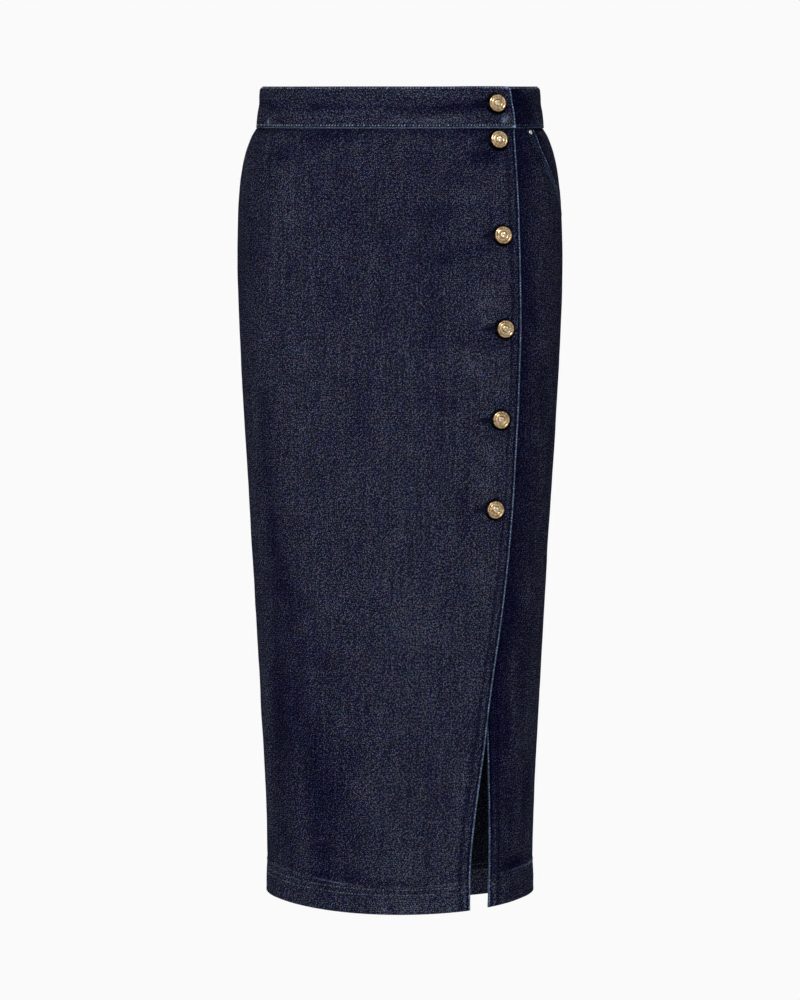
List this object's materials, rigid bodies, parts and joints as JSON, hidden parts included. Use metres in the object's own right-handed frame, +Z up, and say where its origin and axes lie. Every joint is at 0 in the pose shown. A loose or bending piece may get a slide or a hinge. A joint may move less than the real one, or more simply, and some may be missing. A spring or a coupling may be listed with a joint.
{
  "type": "denim wrap skirt",
  "caption": "Hollow midi pencil skirt in denim with a buttoned wrap front, a front slit, one curved hip pocket and a plain waistband.",
  "frame": {"origin": "middle of the waistband, level with its half height at the side seams, where the wearer's waist holds the skirt", "axes": "+Z up along the body, -Y out of the front, +X to the wearer's left"},
  "size_m": [0.3302, 0.241, 0.8385],
  "materials": {
    "denim": "dark indigo twill, dry and matt",
    "pocketing": "plain navy cotton",
    "button_metal": "pale gold, satin",
    "rivet_metal": "nickel",
    "thread": "indigo sewing thread"
  },
  "bodies": {
    "root": {"front_over_panel": "denim", "front_under_panel": "denim", "pocket_hip_piece": "denim", "pocket_bag": "pocketing", "back_panel_left": "denim", "back_panel_right": "denim", "waistband": "denim", "button_1": "button_metal", "button_2": "button_metal", "button_3": "button_metal", "button_4": "button_metal", "button_5": "button_metal", "button_6": "button_metal", "pocket_rivet": "rivet_metal"}
  },
  "joints": []
}
